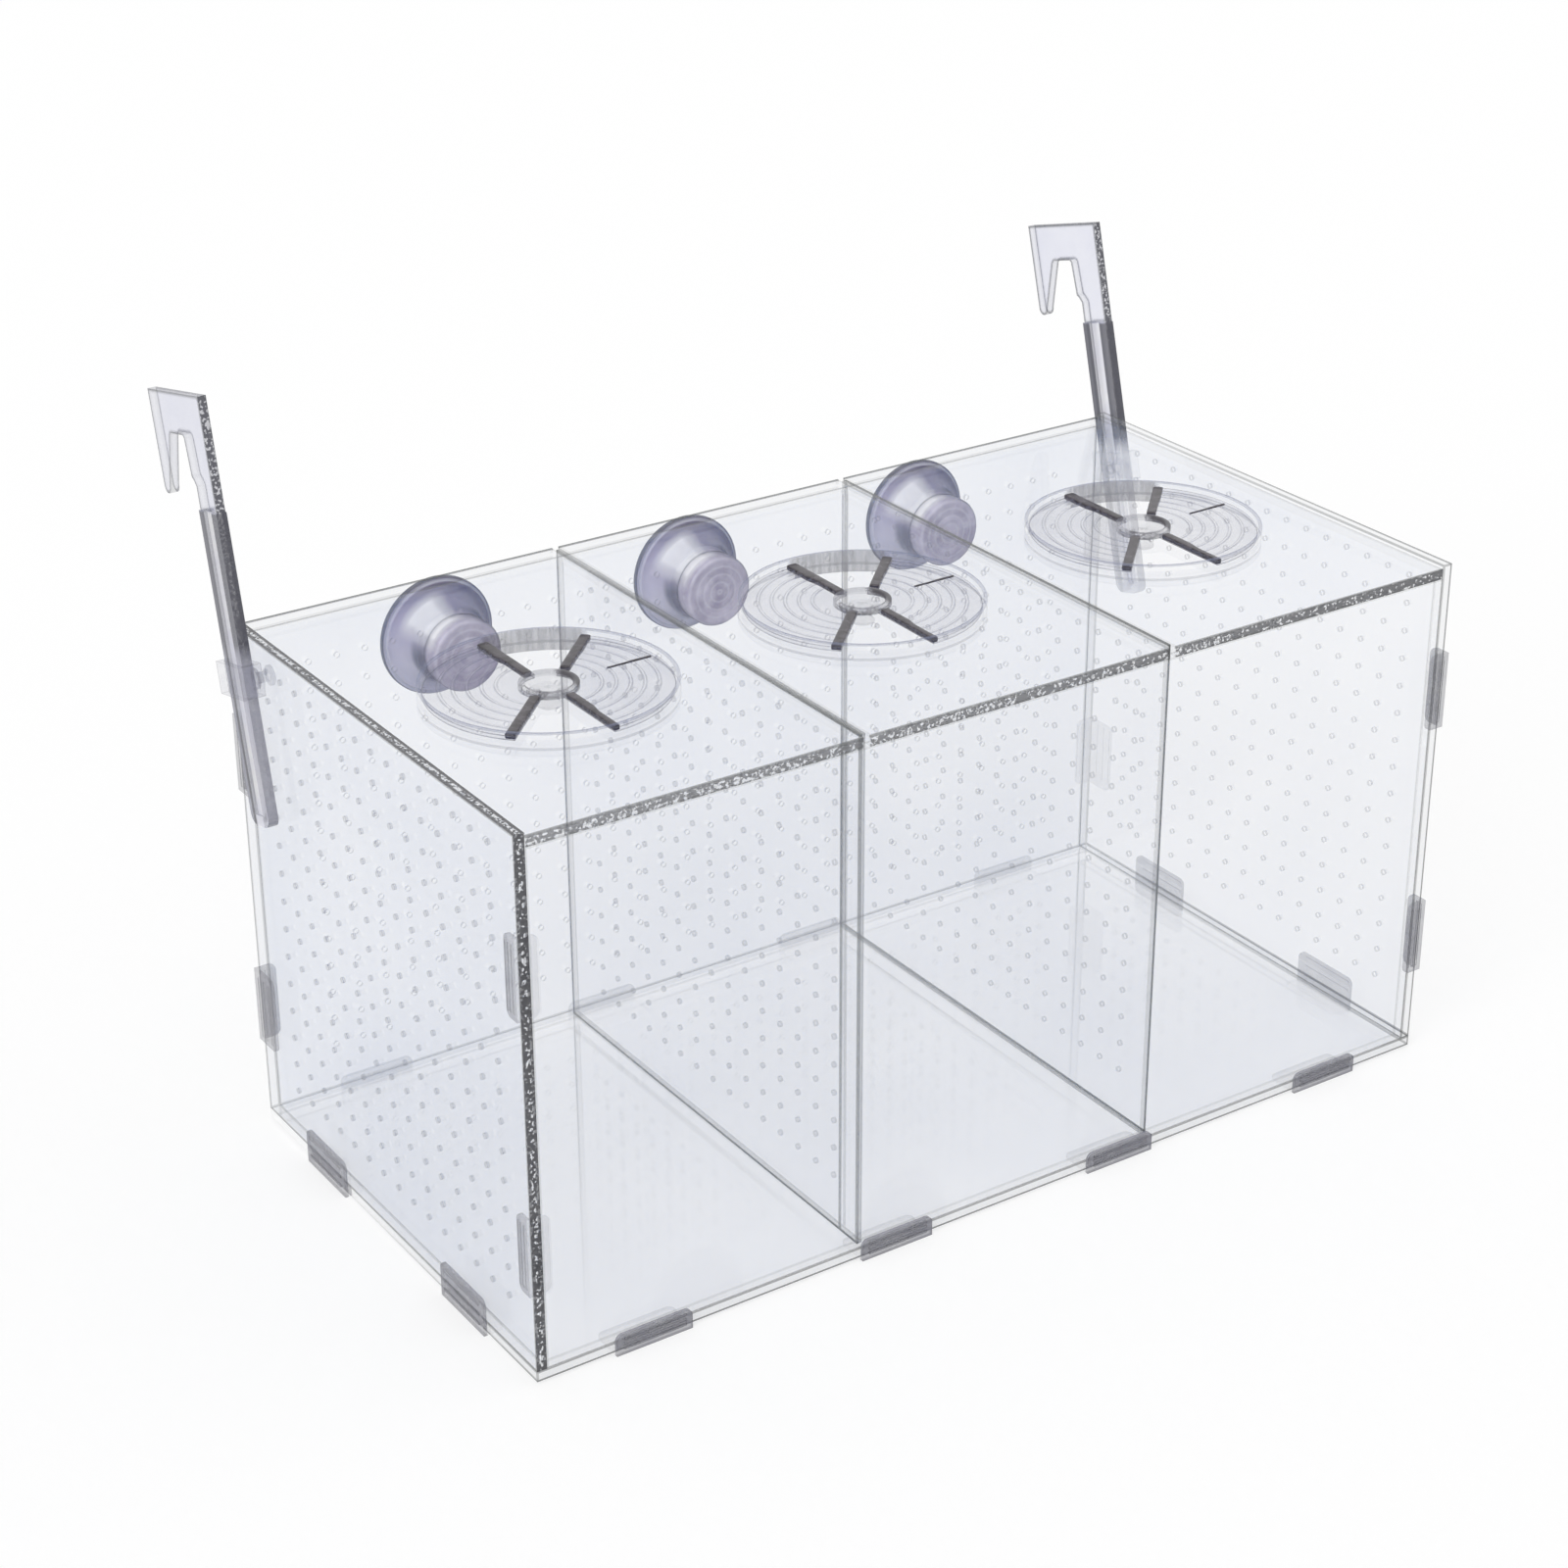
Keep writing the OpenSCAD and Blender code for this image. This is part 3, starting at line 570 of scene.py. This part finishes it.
# Angle of each window edge in degrees, the side of it that its bar stands on, where the bar
# starts, and its width near the hub and near the rim, in millimetres.
bars = ((90, 1, 8.6, (2.6, 3.3)), (45, -1, 10.8, (2.7, 2.9)),
        (270, 1, 8.4, (2.5, 1.8)), (225, -1, 8.4, (2.7, 2.8)))
disc_span = 135               # degrees of disc between two windows
disc_finish = disc_plastic("port_disc_plastic")
bar_finish = dark_bar("port_bar_plastic")
for order, bay in enumerate(("left", "middle", "right")):
    centre = np.array([(order - 1) * bay_pitch, port_front, 0])
    dress("port_seat_" + bay, seat_plastic("port_seat_plastic_" + bay, centre))
    body = "shutter_" + bay
    points, faces = lathe(hub_profile, 64)
    hub = solid("port_hub_" + bay, points + centre, faces)
    finish_piece(hub, hub_plastic("port_hub_plastic_" + bay, centre), body)
    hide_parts("port_shutter_" + bay)
    for k, first in enumerate((90, 270)):
        points, faces = sector_disc(first, first + disc_span)
        disc = solid("port_disc_%s_%d" % (bay, k + 1), points + centre, faces)
        finish_piece(disc, disc_finish, body)
    for k, (angle, side, start, widths) in enumerate(bars):
        points, faces = radial_bar(angle, side, start / 1000, disc_r - round_r,
                                   disc_foot + 0.0001, disc_top + bar_up,
                                   np.array(widths) / 1000)
        bar = solid("port_bar_%s_%d" % (bay, k + 1), points + centre, faces)
        finish_piece(bar, bar_finish, body)
    points, faces = radial_bar(0, 1, *seam_span, disc_top - 0.0002, disc_top + 0.0003,
                               (0.0003, 0.0006))
    seam = solid("port_seam_" + bay, points + centre, faces)
    finish_piece(seam, bar_finish, body)

# ---- Suction cups ----
# Soft lilac vinyl, moulded in one piece: a shallow bell behind the back panel, a neck through
# it and a thick round knob inside that holds the cup in place.

cup_pitch = 0.0834
cup_z = 0.132
knob_r = 0.0108
knob_end = -0.0085            # the knob's end is what lies further in than this
groove_r = 0.0162             # a pale ring lies between this and the rim
rim_r = 0.0172                # the rim is outlined in painted dark shade outside this


def cup_profile():
    """Outline of a cup as [radius, distance behind the back panel] in metres, from the
    middle of the knob's end to the middle of the hollow. The knob's end is almost flat with
    three faint rings, its edge and the rim's are quarter rounds, the bell goes out as
    (1 - cos a)^0.8 while it goes back as sin a, a groove parts it from the rim, and the
    hollow is a parabola. The numbers are millimetres."""
    flat_r, end_depth, edge_r = 9.4, -9.42, 1.4
    turn = np.linspace(0, np.pi / 2, 9)[1:]
    r = np.linspace(0, flat_r, 40)
    end = np.column_stack([r, end_depth + 0.08 * np.cos(r * 2.2) * np.sin(r * np.pi / flat_r)])
    edge = np.column_stack([flat_r + edge_r * np.sin(turn),
                            end_depth + edge_r * (1 - np.cos(turn))])
    side = np.array([[10.8, -7.0], [10.78, -5.0], [10.7, -3.4], [10.5, -3.05],
                     [10.02, -3.03], [10.0, -1.5], [10.02, -0.1]])
    a = np.linspace(0.0, np.pi / 2, 30)
    bell = np.column_stack([10.9 + 5.3 * (1 - np.cos(a)) ** 0.8, 0.1 + 7.7 * np.sin(a)])
    groove = np.array([[16.3, 8.0], [16.45, 8.45], [16.6, 8.6], [16.9, 8.5]])
    rim = np.vstack([np.column_stack([17.1 + 0.5 * np.sin(turn), 9.0 - 0.5 * np.cos(turn)]),
                     np.column_stack([17.0 + 0.6 * np.cos(turn), 9.9 + 0.6 * np.sin(turn)])])
    k = np.linspace(1, 0, 24)
    hollow = np.column_stack([15.6 * k, 10.5 - 3.5 * (1 - k * k)])
    return np.vstack([end, edge, side, bell, groove, rim, hollow]) / 1000


def cup_vinyl(name, centre):
    """Lilac vinyl with painted light and shade. The bell darkens to violet at its upper right in
    painted shade and pales at its lower left in painted light; a broad painted highlight runs
    from it along the knob's upper left; the knob is greyed lilac with soft swirls and faint
    rings on its end, with painted shade at its upper right and where it leaves the bell. A
    painted dark outline of shade edges the rim. Its coat is dark, so outlines are too."""
    s = Shader(name)
    x, y, z = s.position()
    dx = s.math("SUBTRACT", x, centre[0])
    dz = s.math("SUBTRACT", z, centre[2])
    back = s.math("SUBTRACT", y, centre[1])
    r = s.math("SQRT", s.math("ADD", s.math("MULTIPLY", dx, dx), s.math("MULTIPLY", dz, dz)))
    cosine, sine = s.math("DIVIDE", dx, r), s.math("DIVIDE", dz, r)
    swirl = s.noise(170.0, 4.0)
    fine = s.noise(420.0, 3.0)
    # painted shade: the bell darkens to violet towards its upper right
    painted_bell_shade = s.math("MULTIPLY", toward(s, cosine, sine, 55, -0.1, 0.85),
                  s.ramp(r, knob_r, 0.0155, 0.55, 1.0))
    painted_bell_shade = s.math("MULTIPLY", painted_bell_shade, s.ramp(swirl, 0, 1, 0.8, 1.0))
    # painted light: the bell pales towards its lower left
    bell = s.blend(toward(s, cosine, sine, 235, 0.1, 0.95),
                   (0.50, 0.44, 0.63), (0.86, 0.82, 0.97))
    bell = s.blend(painted_bell_shade, bell, (0.06, 0.04, 0.12))
    knob = s.blend(swirl, (0.33, 0.285, 0.42), (0.70, 0.65, 0.80))
    rings = s.ramp(s.math("SINE", s.math("MULTIPLY", r, 2600.0)), 0.3, 1.0, 0.0, 0.35)
    rings = s.math("MULTIPLY", rings, s.ramp(back, knob_end - 0.0003, knob_end, 1.0, 0.0))
    knob = s.blend(rings, knob, (0.85, 0.84, 0.94))
    # painted shade on the knob's upper right
    shade = s.math("MULTIPLY", toward(s, cosine, sine, 40, 0.5, 0.95),
                   s.ramp(r, 0.0098, 0.0105, 0.0, 0.65))
    knob = s.blend(shade, knob, (0.09, 0.08, 0.15))
    knob = s.blend(s.math("MULTIPLY", s.ramp(fine, 0.6, 1.0), 0.4), knob, (0.80, 0.79, 0.88))
    inside = s.ramp(back, 0.0001, 0.0009, 1.0, 0.0)
    colour = s.blend(inside, bell, knob)
    # painted shade: a dark arc round the knob's foot, on its lower left, where it leaves the bell
    painted_foot_shade = s.math("MULTIPLY", toward(s, cosine, sine, 200, 0.75, 0.97),
                  s.ramp(back, -0.0035, -0.0022))
    painted_foot_shade = s.math("MULTIPLY", painted_foot_shade, s.ramp(r, knob_r + 0.0004, knob_r + 0.001, 1.0, 0.0))
    colour = s.blend(s.math("MULTIPLY", painted_foot_shade, 0.9), colour, (0.07, 0.06, 0.11))
    # painted highlight along the knob's upper left, running onto the bell
    painted_highlight = s.math("MULTIPLY", toward(s, cosine, sine, 125, 0.72, 0.95),
                   s.ramp(r, 0.0128, 0.0146, 1.0, 0.0))
    painted_highlight = s.math("MULTIPLY", painted_highlight,
                   s.math("MULTIPLY", s.ramp(back, knob_end, -0.006), s.ramp(r, 0.0085, 0.0098)))
    painted_highlight_share = s.math("MULTIPLY", painted_highlight, s.ramp(swirl, 0, 1, 0.85, 1.0))
    colour = s.blend(painted_highlight_share, colour, (1.0, 0.99, 1.0))
    rim = s.math("MULTIPLY", s.ramp(r, groove_r, groove_r + 0.0002),
                 s.ramp(r, rim_r - 0.0003, rim_r, 1.0, 0.0))
    rim = s.math("MULTIPLY", rim, s.ramp(back, 0.0095, 0.0099, 1.0, 0.0))
    colour = s.blend(s.math("MULTIPLY", rim, 0.6), colour, (0.72, 0.73, 0.84))
    # painted shade: a dark outline on the rim's outer edge
    outer = s.ramp(r, rim_r, rim_r + 0.0002)
    colour = s.blend(s.math("MULTIPLY", outer, 0.95), colour, (0.06, 0.06, 0.085))
    alpha = s.math("MAXIMUM", s.math("MULTIPLY", s.math("MAXIMUM", painted_bell_shade, painted_highlight), 0.97),
                   s.math("MULTIPLY", outer, 0.95))
    alpha = s.math("MAXIMUM", alpha, s.noise(90.0, 2.0, 0.74, 0.84))
    return s.finish(gloss=0.85, mirror_roughness=0.15, mirror=(0.16, 0.16, 0.22), power=3.0,
                    Base_Color=colour, Alpha=alpha, Roughness=s.noise(200.0, 2.0, 0.2, 0.35))


for order, place in enumerate(("left", "middle", "right")):
    centre = np.array([(order - 1) * cup_pitch, half_d, cup_z])
    points, faces = lathe(cup_profile(), 96)
    cup = solid("cup_vinyl_" + place, centre + points[:, [0, 2, 1]], faces)
    finish_piece(cup, cup_vinyl("cup_vinyl_" + place, centre), "tank")
    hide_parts("suction_cup_" + place)

# ---- Hook brackets and rivets ----
# Clear moulded collars that grip the hooks' shafts, each held to its side panel by a clear
# rivet on which it can swivel.


def bracket_plastic(name, strength):
    """Clear plastic with a soft lilac cloud, outlined in painted grey shade along every edge."""
    s = Shader(name)
    cloud = s.noise(330.0, 2.0)
    # painted shade: grey outlines along the bracket's edges
    outline = s.arris(0.0004)
    colour = s.blend(cloud, (0.22, 0.23, 0.32), (0.60, 0.60, 0.74))
    colour = s.blend(outline, colour, (0.13, 0.13, 0.15))
    alpha = s.math("MAXIMUM", s.ramp(cloud, 0, 1, 0.06, 0.16), s.math("MULTIPLY", outline, 0.34))
    alpha = s.math("MULTIPLY", alpha, strength)
    return s.finish(gloss=0.4, mirror=grey_mirror, Base_Color=colour, Alpha=alpha,
                    Roughness=0.12)


for end, strength in (("left", 1.0), ("right", 0.35)):
    bracket_finish = bracket_plastic("bracket_plastic_" + end, strength)
    dress("hook_bracket_" + end, bracket_finish)
    dress("hook_rivet_" + end, bracket_finish)

# ---- Hooks ----
# Flat clear claws that drop over the rim of the larger tank, on recessed shafts that slide
# in the brackets. The shafts' two thick clear flanges are painted dark grey as shade beside
# the pale web.

# Rivet y and z, lean in degrees, how much of its strength the finish keeps below the bracket,
# and how dark the painted shade on the front flange is.
hook_spots = {"left": (0.0607, 0.1446, 12, 0.9, 0.75), "right": (0.0695, 0.1387, 15, 0.3, 0.25)}
shaft_middle = 0.0044         # how far the shaft's middle is behind the rivet
shaft_half = 0.0057
recess_half = 0.0023
head_foot = 0.0456            # how far up from the rivet the claw's head begins
low_foot, low_top = 0.004, 0.010    # where the look of the shaft's lower end sets in


def hook_plastic(name, spot):
    """Pale lilac claw with grey outlines of painted shade; below it a shaft whose clear flanges
    are painted dark grey as shade, darkest beside a pale web; the front edge of the head is
    painted dark and flecked as shade. Below the bracket the painted flange shade is paler, and
    the rear flange has a painted dark line beside the web. Faces that look right or back keep
    0.3 of their strength, so that they don't show through the rest."""
    s = Shader(name)
    pivot_y, pivot_z, lean, below, depth = spot
    sine, cosine = math.sin(math.radians(lean)), math.cos(math.radians(lean))
    _, y, z = s.position()
    dy = s.math("SUBTRACT", y, pivot_y)
    dz = s.math("SUBTRACT", z, pivot_z)
    back = s.math("SUBTRACT", s.math("MULTIPLY", dy, cosine),
                  s.math("MULTIPLY_ADD", dz, sine, shaft_middle))
    up = s.math("ADD", s.math("MULTIPLY", dy, sine), s.math("MULTIPLY", dz, cosine))
    shaft = s.ramp(up, head_foot - 0.0004, head_foot + 0.0004, 1.0, 0.0)
    face = s.ramp(s.facing_axis(0), 0.4, 0.8)
    grain = s.flecks(1200.0, 0.55, 0.8)
    long_grain = s.noise(90.0, 3.0)
    # painted shade: grey outlines along the claw's edges
    outline = s.arris(0.0018)
    normal = s.add("ShaderNodeSeparateXYZ", {0: s.object_space.outputs["Normal"]}).outputs
    outline = s.math("MULTIPLY", outline, s.ramp(normal[0], -0.8, -0.5, 1.0, 0.3))
    web = s.ramp(s.math("ABSOLUTE", back), recess_half - 0.0004, recess_half + 0.0004,
                 1.0, 0.0)
    front_flange = s.ramp(back, -0.0006, 0.0, 1.0, 0.0)
    off_wall = s.math("SUBTRACT", s.math("ABSOLUTE", back), recess_half + 0.0009)
    wall = s.ramp(s.math("ABSOLUTE", off_wall), 0.0005, 0.0012, 1.0, 0.0)
    # painted shade: the thick clear flanges drawn dark grey, darkest by the recess and at the
    # front
    painted_flange_shade = s.blend(wall, (0.15, 0.15, 0.18), (0.10, 0.10, 0.125))
    painted_flange_shade = s.blend(s.math("MULTIPLY", front_flange, depth), painted_flange_shade, (0.085, 0.088, 0.11))
    low_end = s.ramp(up, low_foot, low_top, 1.0, 0.0)
    rear_wall = s.math("MULTIPLY", wall, s.ramp(back, 0.0, 0.001))
    painted_flange_shade = s.blend(low_end, painted_flange_shade, s.blend(rear_wall, (0.42, 0.42, 0.50), (0.07, 0.07, 0.085)))
    web_colour = s.blend(long_grain, (0.80, 0.80, 0.92), (1.0, 1.0, 1.0))
    face_colour = s.blend(shaft, (0.42, 0.45, 0.74), s.blend(web, painted_flange_shade, web_colour))
    # painted shade: the front edge drawn dark and flecked
    front = s.ramp(back, 0.0006 - shaft_half, 0.0012 - shaft_half, 1.0, 0.0)
    inner_wall = s.ramp(s.math("ABSOLUTE", back), recess_half + 0.0006, recess_half + 0.0010,
                        1.0, 0.0)
    edge_colour = s.blend(inner_wall, (0.32, 0.33, 0.36), (0.92, 0.92, 0.98))
    edge_colour = s.blend(front, edge_colour,
                          s.blend(low_end, (0.075, 0.075, 0.095), (0.30, 0.30, 0.35)))
    colour = s.blend(face, edge_colour, face_colour)
    colour = s.blend(s.math("MULTIPLY", outline, s.math("SUBTRACT", 1.0, shaft)),
                     colour, (0.11, 0.115, 0.12))
    head_alpha = s.ramp(long_grain, 0, 1, 0.13, 0.19)
    web_alpha = s.blend_value(low_end, 0.75, 0.85)
    flange_alpha = s.blend_value(low_end, 0.9, s.blend_value(rear_wall, 0.6, 0.95))
    face_alpha = s.blend_value(shaft, head_alpha, s.blend_value(web, flange_alpha, web_alpha))
    edge_alpha = s.blend_value(front, 0.12, s.ramp(grain, 0, 1, 0.38, 0.95))
    wall_alpha = s.blend_value(inner_wall, 0.85, 0.3)
    edge_alpha = s.math("MAXIMUM", edge_alpha, s.math("MULTIPLY", shaft, wall_alpha))
    alpha = s.blend_value(face, edge_alpha, face_alpha)
    alpha = s.math("MAXIMUM", alpha, s.math("MULTIPLY", outline, s.blend_value(shaft, 0.85, 0.3)))
    alpha = s.math("MULTIPLY", alpha, s.ramp(up, low_foot, low_top, below, 1.0))
    clearer = s.math("MAXIMUM", normal[0], normal[1])
    alpha = s.math("MULTIPLY", alpha, s.ramp(clearer, 0.5, 0.8, 1.0, 0.3))
    return s.finish(gloss=0.6, mirror=grey_mirror, Base_Color=colour, Alpha=alpha,
                    Roughness=s.noise(300.0, 2.0, 0.08, 0.18))


for end in ("left", "right"):
    dress("hook_" + end, hook_plastic("hook_plastic_" + end, hook_spots[end]))

# ---- Floor, light and camera ----
# A plain pale floor under soft, even studio light, seen from the tank's left front corner.
# The backdrop is brighter to the camera, to mirrors and through clear plastic than as a lamp.

sky_light, sky_seen = 0.65, 0.99
floor_paint, floor_glow = 0.42, 0.575
world = bpy.data.worlds.new("studio")
bpy.context.scene.world = world
world.use_nodes = True
sky = world.node_tree
path = sky.nodes.new("ShaderNodeLightPath")
seen = sky.nodes.new("ShaderNodeMath")
seen.operation = "MAXIMUM"
also = sky.nodes.new("ShaderNodeMath")
also.operation = "MAXIMUM"
sky.links.new(path.outputs["Is Camera Ray"], seen.inputs[0])
sky.links.new(path.outputs["Is Glossy Ray"], seen.inputs[1])
sky.links.new(seen.outputs[0], also.inputs[0])
sky.links.new(path.outputs["Is Transmission Ray"], also.inputs[1])
strength = sky.nodes.new("ShaderNodeMapRange")
sky.links.new(also.outputs[0], strength.inputs["Value"])
strength.inputs["To Min"].default_value = sky_light
strength.inputs["To Max"].default_value = sky_seen
backdrop = sky.nodes["Background"]
backdrop.inputs["Color"].default_value = (1.0, 1.0, 1.0, 1.0)
sky.links.new(strength.outputs[0], backdrop.inputs["Strength"])


def studio_floor():
    """White floor: over half its light is its own, so that shadows on it stay faint."""
    s = Shader("studio_floor")
    path = s.add("ShaderNodeLightPath")
    seen = s.math("MAXIMUM", path.outputs["Is Camera Ray"], path.outputs["Is Glossy Ray"])
    seen = s.math("MAXIMUM", seen, path.outputs["Is Transmission Ray"])
    paint = s.add("ShaderNodeBsdfDiffuse", {"Color": (*[floor_paint] * 3, 1.0)}).outputs[0]
    glow = s.add("ShaderNodeEmission", {"Strength": s.math("MULTIPLY", seen, floor_glow)})
    both = s.add("ShaderNodeAddShader", {0: paint, 1: glow.outputs[0]}).outputs[0]
    s.add("ShaderNodeOutputMaterial", {"Surface": both})
    return s.material


floor_half = 6.0
floor_z = cad_bounds[0][2]
corners = np.array([[-1, -1, 0], [1, -1, 0], [1, 1, 0], [-1, 1, 0]]) * floor_half
floor = solid("studio_floor", corners + [0, 0, floor_z], [[0, 1, 2, 3]], smooth=False)
floor.data.materials.append(studio_floor())


def sun(name, strength, spread, tilt, heading):
    """Soft distant lamp, tilted off the vertical towards a heading, both in degrees."""
    lamp = bpy.data.lights.new(name, "SUN")
    lamp.energy = strength
    lamp.angle = math.radians(spread)
    piece = bpy.data.objects.new(name, lamp)
    piece.rotation_euler = (math.radians(tilt), 0, math.radians(heading))
    bpy.context.scene.collection.objects.link(piece)


sun("key", 1.6, 40, 55, -60)
sun("fill", 0.35, 60, 55, 60)

camera_place = Vector((-0.470, -0.6707, 0.4931))
camera_right = Vector((0.83100, -0.55626, -0.00377))
camera_down = Vector((-0.24517, -0.36015, -0.90010))
camera_data = bpy.data.cameras.new("camera")
camera_data.sensor_width = 36     # millimetres, like the lens
camera_data.lens = 74.25
camera = bpy.data.objects.new("camera", camera_data)
axes = Matrix((camera_right, -camera_down, camera_right.cross(-camera_down))).transposed()
camera.matrix_world = Matrix.Translation(camera_place) @ axes.to_4x4()
bpy.context.scene.collection.objects.link(camera)
bpy.context.scene.camera = camera
bpy.context.scene.view_settings.view_transform = "Standard"
bpy.context.scene.cycles.transparent_max_bounces = 64    # a ray may cross a dozen sheets
